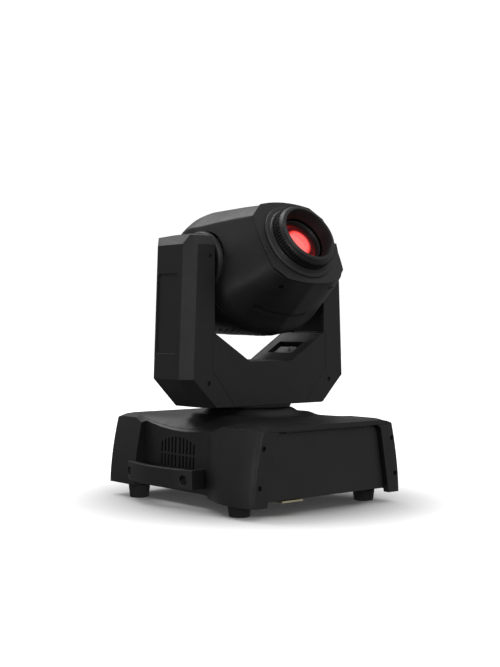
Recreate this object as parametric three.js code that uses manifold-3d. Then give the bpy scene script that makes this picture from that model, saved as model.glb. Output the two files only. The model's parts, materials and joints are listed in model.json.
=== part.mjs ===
// Moving head light: a battery base with two handles, a yoke that pans, and a head that tilts.
// Millimetres, +Z up. The origin is on the pan axis at the bottom of the feet. The front is -Y.
import * as THREE from 'three';
import { mergeVertices } from 'three/addons/utils/BufferGeometryUtils.js';
import Module from 'manifold-3d';

const wasm = await Module();
wasm.setup();

// ---- Driving dimensions ----------------------------------------------------------------------
const GAP = 0.3;
const WALL = 2.5;

const BASE = {
  halfLength: 128.6, bottomHalfWidth: 102.2, topHalfWidth: 90.6, taperPower: 1.7,
  bottom: 12.7, rearBottom: 15, taperStart: 15, taperEnd: 90, top: 92.5, seamX: 82,
  cornerRadius: 2.5, rearCornerRadius: 4, bandBottom: 86.2,
};
// The side bulges between the handle recess and the front corner.
const BULGE = { rise: 5, crownY: -94, endY: -60 };
const HUMP = { halfX: 62, halfY: 46, plateau: 96, peak: 101.4, peakRadius: 44, boreRadius: 15.5 };
const DISH = { startX: 58, edgeX: 85, low: 78.2, centreY: 12, arch: 580 };
const RECESS = { wallX: 86.5, taper: 0.035, rearY: 78, frontY: -20, flareEndY: -94, flareX: 107.6 };
const VENT = { y: 19, halfWidth: 31, bottom: 38.5, split: 53, top: 71.5, slots: 10, slotWidth: 3 };
const FOOT = {
  x: 87.9, y: 88.5, frontHeight: 12.1, rearHeight: 14.4, topRadius: 12, bottomRadius: 10.6, stemRadius: 7,
};
const TRAY = { bottom: 17.4, thickness: 2, padHalfX: 40, padHalfY: 26, padDepth: 1.2 };
const HANDLE = {
  centreY: 26, halfLength: 59, outerX: 116, sagitta: 10, thickness: 7, bottom: 21.5, top: 42,
  screwRadius: 5, screwDepth: 3,
};
const PANEL = {
  topHalf: 73, bottomHalf: 84, bottom: 17.2, top: 84.6, cornerRadius: 7, groove: 1.1, recess: 5,
};

const YOKE = {
  bottom: 105.3, halfDepth: 35.6, innerX: 77.7, seamX: 80.5, notchHalf: 29.5, notchBottom: 152.8,
  notchTop: 183.7, shoulder: 135.4, faceTop: 275.5, crest: 287.3, frontEdge: 11, rearEdge: 15.5,
  faceX: { foot: 75, shoulder: 105.6, top: 100 }, outerX: { foot: 87.5, shoulder: 116.5, top: 111 },
  seamKnee: 143.4, seamFootX: 50.2,
};
const BADGE = { front: -19, rear: 17.6, bottom: 162, top: 245.5, radius: 4, depth: 1.2 };
const LATCH = { from: 15.5, to: 37, halfWidth: 20, depth: 9 };
const PAN = { pulleyRadius: 30, motorPulleyRadius: 9, motorY: 64, beltZ: 64, beltWidth: 6 };
const TILT = {
  z: 256.2, angle: 29.6, hubRadius: 35.5, shaftRadius: 12, pulleyRadius: 22,
  motorPulleyRadius: 8, motorZ: 134, beltX: 94, beltWidth: 5,
};
const LENS = { v: -19.9, flangeFront: 81.3, flangeBack: 79.3 };
const WHEEL = { radius: 30, orbit: 22, windows: 7, windowRadius: 8, thickness: 1.4 };

// ---- Solids ----------------------------------------------------------------------------------
function toSolid(geometry) {
  const bare = geometry.clone();
  bare.deleteAttribute('normal');
  bare.deleteAttribute('uv');
  const merged = mergeVertices(bare, 1e-4);
  return new wasm.Manifold(new wasm.Mesh({
    numProp: 3,
    vertProperties: new Float32Array(merged.attributes.position.array),
    triVerts: new Uint32Array(merged.index.array),
  }));
}

function toGeometry(solid) {
  const mesh = solid.getMesh();
  const geometry = new THREE.BufferGeometry();
  geometry.setAttribute('position', new THREE.BufferAttribute(new Float32Array(mesh.vertProperties), 3));
  geometry.setIndex(new THREE.BufferAttribute(new Uint32Array(mesh.triVerts), 1));
  geometry.computeVertexNormals();
  return geometry;
}

function box(x0, x1, y0, y1, z0, z1) {
  const geometry = new THREE.BoxGeometry(x1 - x0, y1 - y0, z1 - z0);
  geometry.translate((x0 + x1) / 2, (y0 + y1) / 2, (z0 + z1) / 2);
  return toSolid(geometry);
}

// Turns a solid made along Z so that it lies along the named axis.
function turnFromZ(geometry, axis) {
  if (axis === 'x') geometry.rotateY(Math.PI / 2);
  if (axis === 'y') geometry.rotateX(-Math.PI / 2);
  return geometry;
}

// A cylinder along an axis, from one end to the other, with its centre line through (x, y, z).
function rod(axis, radius, from, to, centre = [0, 0, 0], segments = 20) {
  const geometry = new THREE.CylinderGeometry(radius, radius, to - from, segments);
  geometry.rotateX(Math.PI / 2);
  geometry.translate(0, 0, (from + to) / 2);
  turnFromZ(geometry, axis);
  geometry.translate(...centre);
  return toSolid(geometry);
}

// A turned solid: points are [radius, distance along the axis], closing on the axis or on itself.
function turned(axis, points, centre = [0, 0, 0], segments = 20) {
  const profile = points.map(([radius, along]) => new THREE.Vector2(radius, along));
  const closed = points[0][0] > 0;
  if (closed) profile.push(profile[0].clone());
  const geometry = new THREE.LatheGeometry(profile, segments);
  geometry.rotateX(Math.PI / 2);
  turnFromZ(geometry, axis);
  geometry.translate(...centre);
  return outward(toSolidEitherWay(geometry));
}

function toSolidEitherWay(geometry) {
  return { forward: geometry, solid: toSolid(geometry) };
}

function outward({ forward, solid }) {
  if (solid.volume() > 0) return solid;
  const index = forward.index.array;
  for (let i = 0; i < index.length; i += 3) {
    [index[i], index[i + 1]] = [index[i + 1], index[i]];
  }
  return toSolid(forward);
}

function shapeOf(points) {
  return new THREE.Shape(points.map(([a, b]) => new THREE.Vector2(a, b)));
}

function extrude(shape, depth) {
  return new THREE.ExtrudeGeometry(shape, { depth, bevelEnabled: false, curveSegments: 8 });
}

// Prisms: the outline lies in the plane across the named axis and runs from one end to the other.
function prismZ(points, from, to) {
  const geometry = extrude(shapeOf(points), to - from);
  geometry.translate(0, 0, from);
  return toSolid(geometry);
}

function prismY(points, from, to) {
  const geometry = extrude(shapeOf(points), to - from);
  geometry.rotateX(Math.PI / 2);
  geometry.translate(0, to, 0);
  return toSolid(geometry);
}

function prismX(points, from, to) {
  const geometry = extrude(shapeOf(points), to - from);
  geometry.rotateX(Math.PI / 2);
  geometry.rotateZ(Math.PI / 2);
  geometry.translate(from, 0, 0);
  return toSolid(geometry);
}

function area(points) {
  let sum = 0;
  points.forEach(([a, b], i) => {
    const [c, d] = points[(i + 1) % points.length];
    sum += a * d - c * b;
  });
  return sum / 2;
}

// A skin over rings that all have the same number of points, closed by a cap at each end.
function loft(rings, across) {
  const count = rings[0].length;
  const index = [];
  for (let r = 0; r + 1 < rings.length; r += 1) {
    for (let i = 0; i < count; i += 1) {
      const a = r * count + i;
      const b = r * count + ((i + 1) % count);
      index.push(a, b, b + count, a, b + count, a + count);
    }
  }
  const keep = { x: [1, 2], y: [0, 2], z: [0, 1] }[across];
  const cap = (ring, first, wanted) => {
    const flat = ring.map((p) => [p[keep[0]], p[keep[1]]]);
    const turn = Math.sign(area(flat)) * wanted;
    const contour = flat.map(([a, b]) => new THREE.Vector2(a, b));
    for (const [a, b, c] of THREE.ShapeUtils.triangulateShape(contour, [])) {
      const same = Math.sign(area([flat[a], flat[b], flat[c]])) === turn;
      index.push(first + a, first + (same ? b : c), first + (same ? c : b));
    }
  };
  cap(rings[0], 0, -1);
  cap(rings[rings.length - 1], (rings.length - 1) * count, 1);
  const geometry = new THREE.BufferGeometry();
  geometry.setAttribute('position', new THREE.BufferAttribute(new Float32Array(rings.flat(2)), 3));
  geometry.setIndex(index);
  return outward(toSolidEitherWay(geometry));
}

function mirrorX(solid) {
  return solid.mirror([1, 0, 0]);
}

function join(...solids) {
  return solids.reduce((whole, solid) => whole.add(solid));
}

function cut(solid, ...tools) {
  return tools.reduce((rest, tool) => rest.subtract(tool), solid);
}

const clamp01 = (t) => Math.min(1, Math.max(0, t));
const smooth = (t) => clamp01(t) ** 2 * (3 - 2 * clamp01(t));
const mix = (a, b, t) => a + (b - a) * t;
const range = (count) => Array.from({ length: count }, (_, i) => i);

// ---- Node list -------------------------------------------------------------------------------
const FINISH = {
  plastic: { color: 0x1a1a1b, roughness: 0.55, metalness: 0 },
  coated: { color: 0x161617, roughness: 0.45, metalness: 0.3 },
  rubber: { color: 0x0e0e0e, roughness: 0.9, metalness: 0 },
  steel: { color: 0xa9a8a2, roughness: 0.35, metalness: 0.9 },
  zinc: { color: 0xc8bf8e, roughness: 0.35, metalness: 0.85 },
  aluminium: { color: 0xb9bcc0, roughness: 0.4, metalness: 0.9 },
  board: { color: 0x1f5b34, roughness: 0.6, metalness: 0 },
  glass: { color: 0xe02a2a, roughness: 0.05, metalness: 0 },
  grey: { color: 0x8b8d90, roughness: 0.5, metalness: 0 },
  smoked: { color: 0x0c1a26, roughness: 0.1, metalness: 0 },
  battery: { color: 0x26466b, roughness: 0.5, metalness: 0 },
};

const root = new THREE.Group();
const head = new THREE.Group();
head.position.set(0, 0, TILT.z);
head.rotation.x = THREE.MathUtils.degToRad(-TILT.angle);
root.add(head);

function addNode(parent, name, solid, finish) {
  const mesh = new THREE.Mesh(toGeometry(solid), new THREE.MeshStandardMaterial(FINISH[finish]));
  mesh.name = name;
  parent.add(mesh);
}

// ---- Base ------------------------------------------------------------------------------------
function baseHalfWidth(z) {
  const t = clamp01((z - BASE.taperStart) / (BASE.taperEnd - BASE.taperStart));
  return mix(BASE.bottomHalfWidth, BASE.topHalfWidth, t ** BASE.taperPower);
}

// Plan outline of the base at one height, drawn in by an inset.
function baseOutline(z, inset) {
  const halfX = baseHalfWidth(z) - inset;
  const halfY = BASE.halfLength - inset;
  const arc = (sx, sy, radius, start) => range(4).map((i) => {
    const angle = THREE.MathUtils.degToRad(start + 30 * i);
    return [
      sx * (halfX - radius) + radius * Math.cos(angle),
      sy * (halfY - radius) + radius * Math.sin(angle), z,
    ];
  });
  const bulge = range(6).map((i) => {
    const y = mix(BASE.cornerRadius - halfY, BULGE.crownY, (i + 1) / 6);
    const along = (BULGE.crownY - y) / (BULGE.crownY + halfY);
    return [halfX + BULGE.rise * (1 - along ** 2), y, z];
  });
  const side = [...bulge, [halfX, BULGE.endY, z]];
  return [
    ...arc(1, -1, BASE.cornerRadius, -90), ...side, ...arc(1, 1, BASE.rearCornerRadius, 0),
    ...arc(-1, 1, BASE.rearCornerRadius, 90), ...side.map(([x, y]) => [-x, y, z]).reverse(),
    ...arc(-1, -1, BASE.cornerRadius, 180),
  ];
}

function baseEnvelope(inset, bottom) {
  const heights = [bottom, 15, 40, 62, 78, 90, 112];
  return loft(heights.map((z) => baseOutline(z, inset)), 'z');
}

// Height of the base's top skin: a raised middle, falling edges and a scoop beside each handle.
function topHeight(x, y) {
  const ax = Math.abs(x);
  const outside = Math.hypot(Math.max(0, ax - HUMP.halfX + 20), Math.max(0, Math.abs(y) - HUMP.halfY + 20));
  const plateau = mix(HUMP.plateau, BASE.top, smooth((outside - 14) / 14));
  const peak = (HUMP.peak - HUMP.plateau) * (1 - smooth((Math.hypot(x, y) - HUMP.peakRadius) / 12));
  const edge = 4 * smooth((ax - 74) / 20) + 1.6 * smooth((Math.abs(y) - 116) / 12.6);
  const plain = plateau + peak - edge;
  const arch = DISH.low + (y - DISH.centreY) ** 2 / DISH.arch;
  const scoop = Math.max(0, (ax - DISH.startX) / (DISH.edgeX - DISH.startX)) ** 2;
  return plain - Math.max(0, plain - arch) * scoop;
}

function belowTop(drop) {
  const xs = [-112, -96, -89, -84, -78, -71, -62, -48, -26, 0];
  const columns = [...xs, ...xs.slice(0, -1).reverse().map((x) => -x)];
  const rows = range(19).map((i) => -132 + (264 * i) / 18);
  const rings = rows.map((y) => [
    ...columns.map((x) => [x, y, topHeight(x, y) - drop]),
    [112, y, -10], [-112, y, -10],
  ]);
  return loft(rings, 'y');
}

// The hollow beside the handle, on the -X side, grown by an offset for the inner face of its wall.
function handleRecess(grow) {
  const ring = (z) => {
    const wall = RECESS.wallX - RECESS.taper * (z - 40) - grow;
    const flare = range(10).map((i) => {
      const t = i / 9;
      return [-mix(wall, RECESS.flareX, smooth(t)), mix(RECESS.frontY, RECESS.flareEndY, t), z];
    });
    return [[-125, RECESS.rearY + grow, z], [-wall, RECESS.rearY + grow, z], ...flare,
      [-125, RECESS.flareEndY, z]];
  };
  return loft([ring(-12), ring(120)], 'z');
}

// The two rows of vent slots under a round arch, as cutting tools through the recess wall.
function ventTools() {
  const pitch = (2 * VENT.halfWidth) / VENT.slots;
  return range(VENT.slots).flatMap((i) => {
    const shift = (i - (VENT.slots - 1) / 2) * pitch;
    const middle = shift + Math.sign(shift) * 0.8;
    const y = VENT.y + middle;
    const rise = Math.sqrt(Math.max(0, 1 - (middle / (VENT.halfWidth + 4)) ** 2));
    const top = mix(VENT.split + 4, VENT.top, rise);
    const x = [-RECESS.wallX - 4, -RECESS.wallX + 8];
    return [
      box(x[0], x[1], y - VENT.slotWidth / 2, y + VENT.slotWidth / 2, VENT.split + 1, top),
      box(x[0], x[1], y - VENT.slotWidth / 2, y + VENT.slotWidth / 2, VENT.bottom, VENT.split - 1),
    ];
  });
}

// Front view outline of the front panel, grown by an offset and run on downwards by a drop.
function panelOutline(grow, drop) {
  const r = PANEL.cornerRadius;
  const rounded = range(5).map((i) => {
    const angle = THREE.MathUtils.degToRad(10 + (80 * i) / 4);
    return [
      PANEL.topHalf + grow - r + r * Math.cos(angle), PANEL.top + grow - r + r * Math.sin(angle),
    ];
  });
  const slope = (PANEL.bottomHalf - PANEL.topHalf) / (PANEL.top - PANEL.bottom);
  const right = [[PANEL.bottomHalf + grow + slope * drop, PANEL.bottom - drop], ...rounded];
  return [...right, ...right.map(([x, z]) => [-x, z]).reverse()];
}

function addBaseShells() {
  const recess = [handleRecess(0), mirrorX(handleRecess(0))];
  const recessInner = [handleRecess(WALL), mirrorX(handleRecess(WALL))];
  const outer = cut(baseEnvelope(0, BASE.bottom).intersect(belowTop(0)), ...recess);
  const inner = cut(baseEnvelope(WALL, -11).intersect(belowTop(WALL)), ...recessInner);
  const skin = cut(outer, inner);
  const front = [-130, -BASE.halfLength + WALL + GAP];
  const rear = [BASE.halfLength - WALL - GAP, 130];

  const topBox = box(-BASE.seamX, BASE.seamX, -130, 130, 70, 112);
  const cover = cut(
    skin.intersect(topBox), box(-90, 90, ...front, 0, BASE.bandBottom),
    box(-90, 90, ...rear, 0, BASE.bandBottom), rod('z', HUMP.boreRadius, 60, 112),
  );
  // A lip behind the front band closes the gap above the panel.
  const lipX = PANEL.topHalf - PANEL.cornerRadius - GAP;
  const back = -BASE.halfLength + PANEL.recess + WALL;
  const lipZ = [PANEL.top + GAP, BASE.bandBottom + 1];
  const lip = join(
    box(-lipX, lipX, front[1], back, ...lipZ),
    box(-60 + GAP, 60 - GAP, -BASE.halfLength + 1, back, ...lipZ),
  );
  addNode(root, 'base_top_cover', join(cover, lip), 'plastic');

  const panelHole = prismY(panelOutline(PANEL.groove, 20), -132, -120);
  const strip = cut(box(-90, -60, ...front, 0, BASE.bandBottom - GAP), panelHole);
  const sideBox = cut(box(-112, -BASE.seamX - GAP, -130, 130, 0, 112), panelHole);
  const sill = box(-112, -60, -40, 130, 0, BASE.rearBottom);
  const screws = [[89.8, 70.8], [95.2, 32.6]].map(([x, z]) => rod('y', 2.6, -130, -122, [-x, 0, z], 12));
  // The wall that runs back from the shell's front face to the panel set behind it.
  const reveal = cut(prismY(panelOutline(PANEL.groove + WALL, 20), -BASE.halfLength + 1, back), panelHole)
    .intersect(box(-112, PANEL.cornerRadius - PANEL.topHalf, -130, -110, BASE.bottom, PANEL.top));
  const shell = join(skin.intersect(join(sideBox, strip)), reveal);
  const side = cut(shell, sill, ...ventTools(), ...screws);
  addNode(root, 'left_side_shell', side, 'plastic');
  addNode(root, 'right_side_shell', mirrorX(side), 'plastic');

  const tray = cut(
    baseEnvelope(WALL + GAP, -11), handleRecess(WALL + GAP), mirrorX(handleRecess(WALL + GAP)),
  ).intersect(box(-112, 112, back + GAP, 130, TRAY.bottom, TRAY.bottom + TRAY.thickness));
  // A pad pressed downwards out of the tray, where a hanging bracket bolts on.
  const pad = box(-TRAY.padHalfX, TRAY.padHalfX, -TRAY.padHalfY, TRAY.padHalfY,
    TRAY.bottom - TRAY.padDepth, TRAY.bottom + TRAY.thickness / 2);
  addNode(root, 'base_tray', join(tray, pad), 'coated');
}

function addPanels() {
  const face = -BASE.halfLength + PANEL.recess;
  const front = prismY(panelOutline(0, 0), face, face + WALL);
  addNode(root, 'front_panel', front, 'coated');

  const y = [BASE.halfLength - WALL, BASE.halfLength];
  const plate = box(-BASE.seamX + GAP, BASE.seamX - GAP, ...y, PANEL.bottom, BASE.bandBottom - GAP);
  const holes = [
    box(-74, -44, 120, 132, 30, 52), rod('y', 12, 120, 132, [-18, 0, 41]),
    rod('y', 12, 120, 132, [14, 0, 41]), box(38, 58, 120, 132, 32, 50), box(-30, 30, 120, 132, 60, 80),
    ...range(4).map((i) => rod('y', 4, 120, 132, [buttonX(i), 0, 70], 16)),
  ];
  addNode(root, 'rear_panel', cut(plate, ...holes), 'coated');
}

function buttonX(i) {
  return 38 + 11.5 * i;
}

function addRearFittings() {
  const back = BASE.halfLength;
  const inlet = cut(
    box(-73.7, -44.3, back - 22, back, 30.3, 51.7), box(-70, -48, back - 16, back + 1, 34, 48),
  );
  const pins = range(3).map((i) => box(-60 + 6 * (i - 1), -58 + 6 * (i - 1), back - 17, back - 4, 39, 43));
  addNode(root, 'power_inlet', join(inlet, ...pins), 'rubber');
  for (const [name, x] of [['data_in_socket', -18], ['data_out_socket', 14]]) {
    const socket = turned('y', [
      [0, back - 20], [11.7, back - 20], [11.7, back], [9.4, back], [9.4, back - 12], [0, back - 12],
    ], [x, 0, 41], 24);
    addNode(root, name, socket, 'coated');
  }
  addNode(root, 'display_window', box(-29.7, 29.7, back - 3, back - 0.5, 60.3, 79.7), 'smoked');
  range(4).forEach((i) => {
    const button = join(
      rod('y', 3.6, back - 4, back, [buttonX(i), 0, 70], 10),
      rod('y', 4.8, back - 6, back - 3.9, [buttonX(i), 0, 70], 10),
    );
    addNode(root, `menu_button_${i + 1}`, button, 'grey');
  });
  const rocker = prismX([
    [back - 10, 33.5], [back - 1.5, 33.5], [back - 4, 41], [back - 0.3, 48.5], [back - 10, 48.5],
  ], 39, 57);
  addNode(root, 'power_switch', rocker, 'rubber');
}

function addHandles() {
  const outer = (y) => HANDLE.outerX - HANDLE.sagitta * ((y - HANDLE.centreY) / HANDLE.halfLength) ** 2;
  const front = HANDLE.centreY - HANDLE.halfLength;
  const rear = HANDLE.centreY + HANDLE.halfLength;
  const outside = range(13).map((i) => {
    const y = mix(front, rear, i / 12);
    return [-outer(y), y];
  });
  const inside = range(11).map((i) => {
    const y = mix(RECESS.rearY - 0.4, front + 7, i / 10);
    return [-outer(y) + HANDLE.thickness, y];
  });
  const outline = [
    ...outside, [-102.7, rear], [-102.7, RECESS.rearY - 0.4], ...inside, [-88.4, front + 7], [-89.4, front],
  ];
  const bar = prismZ(outline, HANDLE.bottom, HANDLE.top);
  const holes = [[-22, 31], [79, 31]].map(([y, z]) => (
    rod('x', HANDLE.screwRadius, -outer(y) - 2, -outer(y) + HANDLE.screwDepth, [0, y, z], 20)
  ));
  const handle = cut(bar, ...holes);
  addNode(root, 'left_handle', handle, 'plastic');
  addNode(root, 'right_handle', mirrorX(handle), 'plastic');
}

function addFeet() {
  for (const [side, sx] of [['left', -1], ['right', 1]]) {
    for (const [end, sy] of [['front', -1], ['rear', 1]]) {
      const height = sy < 0 ? FOOT.frontHeight : FOOT.rearHeight;
      const foot = turned('z', [
        [0, 0], [FOOT.bottomRadius, 0], [FOOT.topRadius, height], [FOOT.stemRadius, height],
        [FOOT.stemRadius, TRAY.bottom - GAP], [0, TRAY.bottom - GAP],
      ], [sx * FOOT.x, sy * FOOT.y, 0], 28);
      addNode(root, `${end}_${side}_foot`, foot, 'rubber');
    }
  }
}

// A flat belt round two pulleys that lie along one line, as an outline in that plane.
function beltOutline(r1, r2, distance, grow) {
  const lean = Math.asin((r1 - r2) / distance);
  const steps = 9;
  const big = range(steps + 1).map((i) => {
    const angle = mix(lean, -(Math.PI + lean), i / steps);
    return [(r1 + grow) * Math.cos(angle), (r1 + grow) * Math.sin(angle)];
  });
  const small = range(steps + 1).map((i) => {
    const angle = mix(Math.PI - lean, lean, i / steps);
    return [(r2 + grow) * Math.cos(angle), distance + (r2 + grow) * Math.sin(angle)];
  });
  return [...big, ...small];
}

function addBaseInside() {
  const top = PAN.beltZ - 2;
  addNode(root, 'battery_pack', box(-68, 68, -112, -42, TRAY.bottom + TRAY.thickness + GAP, 60), 'battery');
  const motor = join(
    box(-21, 21, PAN.motorY - 21, PAN.motorY + 21, 24, top - 4),
    rod('z', 2.5, top - 4, top + 13, [0, PAN.motorY, 0], 16),
  );
  addNode(root, 'pan_motor', motor, 'steel');
  const pulley = turned('z', [
    [2.8, top], [11, top], [11, top + 1.5], [PAN.motorPulleyRadius, top + 1.5],
    [PAN.motorPulleyRadius, top + 10], [11, top + 10], [11, top + 11.5], [2.8, top + 11.5],
  ], [0, PAN.motorY, 0], 16);
  addNode(root, 'pan_motor_pulley', pulley, 'aluminium');
  const belt = cut(
    prismZ(beltOutline(PAN.pulleyRadius, PAN.motorPulleyRadius, PAN.motorY, 2.2),
      PAN.beltZ, PAN.beltZ + PAN.beltWidth),
    prismZ(beltOutline(PAN.pulleyRadius, PAN.motorPulleyRadius, PAN.motorY, 0.9),
      PAN.beltZ - 1, PAN.beltZ + PAN.beltWidth + 1),
  );
  addNode(root, 'pan_belt', belt, 'rubber');
  addNode(root, 'pan_bearing', turned('z', [[13.4, 86], [22, 86], [22, 94], [13.4, 94]]), 'steel');
  addNode(root, 'latch_plate', box(-64, -36, -126, -112, 15, PANEL.bottom - GAP), 'zinc');
}

// ---- Yoke ------------------------------------------------------------------------------------
// Plan section of one arm (+X side) at one height, drawn in by an inset.
function armSection(z, inset, innerX) {
  const deep = YOKE.halfDepth - inset;
  let faceX;
  let outerX;
  if (z <= YOKE.shoulder) {
    const t = (z - YOKE.bottom) / (YOKE.shoulder - YOKE.bottom);
    faceX = mix(YOKE.faceX.foot, YOKE.faceX.shoulder, t);
    outerX = mix(YOKE.outerX.foot, YOKE.outerX.shoulder, t);
  } else {
    const t = clamp01((z - YOKE.shoulder) / (YOKE.faceTop - YOKE.shoulder));
    faceX = mix(YOKE.faceX.shoulder, YOKE.faceX.top, t);
    outerX = mix(YOKE.outerX.shoulder, YOKE.outerX.top, t);
  }
  const edges = [YOKE.frontEdge, YOKE.rearEdge].map((edge) => YOKE.halfDepth - edge - inset * 0.4);
  return armRing(z, innerX, faceX - inset * 0.6, outerX - inset, deep, edges);
}

function armRing(z, innerX, faceX, outerX, deep, [frontEdge, rearEdge]) {
  return [
    [innerX, -deep, z], [faceX, -deep, z], [outerX, -frontEdge, z],
    [outerX, rearEdge, z], [faceX, deep, z], [innerX, deep, z],
  ];
}

// The hollow inside an arm cover, open on the side that faces the head.
function armHollow() {
  const open = YOKE.seamFootX - 20;
  const low = armSection(YOKE.bottom + WALL, WALL, open);
  const rings = [low, armSection(YOKE.shoulder, WALL, open), armSection(YOKE.faceTop - 1, WALL, open)];
  rings.push(armRing(YOKE.crest - 4, open, 98, 100, 25.5, [24, 17]));
  return loft(rings, 'z');
}

// Everything on the arm's side of the seam with the middle covers, as a prism along Y.
function armSide() {
  return prismY([
    [YOKE.seamFootX, 90], [YOKE.seamFootX, YOKE.bottom], [YOKE.seamX, YOKE.seamKnee],
    [YOKE.seamX, YOKE.notchTop + GAP], [YOKE.innerX, YOKE.notchTop + GAP], [YOKE.innerX, 300],
    [130, 300], [130, 90],
  ], -50, 50);
}

// Side view outline of the blank recess in the arm's outer face.
function badgeOutline() {
  const r = BADGE.radius;
  const corners = [
    [BADGE.rear - r, BADGE.bottom + r, -90], [BADGE.rear - r, BADGE.top - r, 0],
    [BADGE.front + r, BADGE.top - r, 90], [BADGE.front + r, BADGE.bottom + r, 180],
  ];
  return corners.flatMap(([y, z, start]) => range(4).map((i) => {
    const angle = THREE.MathUtils.degToRad(start + 30 * i);
    return [y + r * Math.cos(angle), z + r * Math.sin(angle)];
  }));
}

function armCover() {
  const rings = [YOKE.bottom, YOKE.shoulder, YOKE.faceTop].map((z) => armSection(z, 0, 40));
  rings.push(armRing(YOKE.crest - 2.3, 40, 102.8, 104.6, 29.9, [28.2, 16.5]));
  rings.push(armRing(YOKE.crest, 40, 93, 94.5, 19, [17.5, 10]));
  const solid = loft(rings, 'z').intersect(armSide());
  const badge = prismX(badgeOutline(), 0, 20);
  const lean = Math.atan((YOKE.outerX.shoulder - YOKE.outerX.top) / (YOKE.faceTop - YOKE.shoulder));
  const middle = (BADGE.bottom + BADGE.top) / 2;
  const faceX = mix(YOKE.outerX.shoulder, YOKE.outerX.top,
    (middle - YOKE.shoulder) / (YOKE.faceTop - YOKE.shoulder));
  const pressed = badge.translate([0, 0, -middle]).rotate([0, -THREE.MathUtils.radToDeg(lean), 0])
    .translate([faceX - BADGE.depth, 0, middle]);
  const screws = [[84.2, 263.4], [85.5, 131]].flatMap(([x, z]) => [
    rod('y', 2.4, -40, -30, [x, 0, z], 12), rod('y', 2.4, 30, 40, [x, 0, z], 12),
  ]);
  return cut(solid, armHollow(), pressed, ...screws);
}

function notchLine(x) {
  const t = clamp01((Math.abs(x) - YOKE.notchHalf) / (YOKE.innerX - YOKE.notchHalf));
  return mix(YOKE.notchBottom, YOKE.notchTop, t);
}

function middleCover() {
  const side = YOKE.seamX - GAP;
  const foot = YOKE.seamFootX - GAP;
  const outline = [
    [-foot, YOKE.bottom], [foot, YOKE.bottom], [side, YOKE.seamKnee], [side, YOKE.notchTop],
    [YOKE.innerX, YOKE.notchTop], [YOKE.notchHalf, YOKE.notchBottom],
    [-YOKE.notchHalf, YOKE.notchBottom], [-YOKE.innerX, YOKE.notchTop], [-side, YOKE.notchTop],
    [-side, YOKE.seamKnee],
  ];
  const plate = prismY(outline, -YOKE.halfDepth, -YOKE.halfDepth + WALL);
  const floor = box(-foot + 2, foot - 2, -YOKE.halfDepth + 1, -GAP / 2, YOKE.bottom, YOKE.bottom + WALL);
  return cut(join(plate, floor), rod('z', 20, 90, 112));
}

// Places a solid drawn on the flat right-hand slope of the notch: along the slope, across and up.
function onSlope(solid) {
  const lean = Math.atan((YOKE.notchTop - YOKE.notchBottom) / (YOKE.innerX - YOKE.notchHalf));
  return solid.rotate([0, -THREE.MathUtils.radToDeg(lean), 0])
    .translate([YOKE.notchHalf, 0, YOKE.notchBottom]);
}

function addYokeCovers() {
  const right = armCover();
  addNode(root, 'right_arm_cover', right, 'plastic');
  addNode(root, 'left_arm_cover', mirrorX(right), 'plastic');
  const front = middleCover();
  addNode(root, 'yoke_front_cover', front, 'plastic');
  addNode(root, 'yoke_rear_cover', front.mirror([0, 1, 0]), 'plastic');

  const deep = YOKE.halfDepth - WALL - GAP;
  const line = [-YOKE.innerX, -YOKE.notchHalf, YOKE.notchHalf, YOKE.innerX];
  const sheet = prismY([
    ...line.map((x) => [x, notchLine(x)]), ...line.reverse().map((x) => [x, notchLine(x) - WALL - 0.5]),
  ], -deep, deep);
  const wide = LATCH.halfWidth + 2;
  const pocket = cut(
    onSlope(box(LATCH.from - 2, LATCH.to + 2, -wide, wide, -LATCH.depth - 2, -0.2)),
    box(-100, 100, -50, 50, 190, 300),
  );
  const well = onSlope(box(LATCH.from, LATCH.to, -LATCH.halfWidth, LATCH.halfWidth, -LATCH.depth, 5));
  addNode(root, 'yoke_saddle', cut(join(sheet, pocket), well), 'plastic');

  const top = YOKE.faceTop - 4;
  const plate = prismX([
    [-deep, YOKE.notchTop + 1], [deep, YOKE.notchTop + 1], [deep, top - 6], [deep - 6, top],
    [-deep + 6, top], [-deep, top - 6],
  ], YOKE.innerX, YOKE.innerX + WALL);
  const ridge = turned('x', [[31, 76.9], [33, 76.9], [33, 78.5], [31, 78.5]], [0, 0, TILT.z]);
  const inner = cut(join(plate, ridge.intersect(box(70, 90, -deep, deep, 200, top - 6))),
    rod('x', TILT.shaftRadius + 3, 60, 100, [0, 0, TILT.z]));
  addNode(root, 'right_arm_inner_cover', inner, 'plastic');
  addNode(root, 'left_arm_inner_cover', mirrorX(inner), 'plastic');
}

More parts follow.
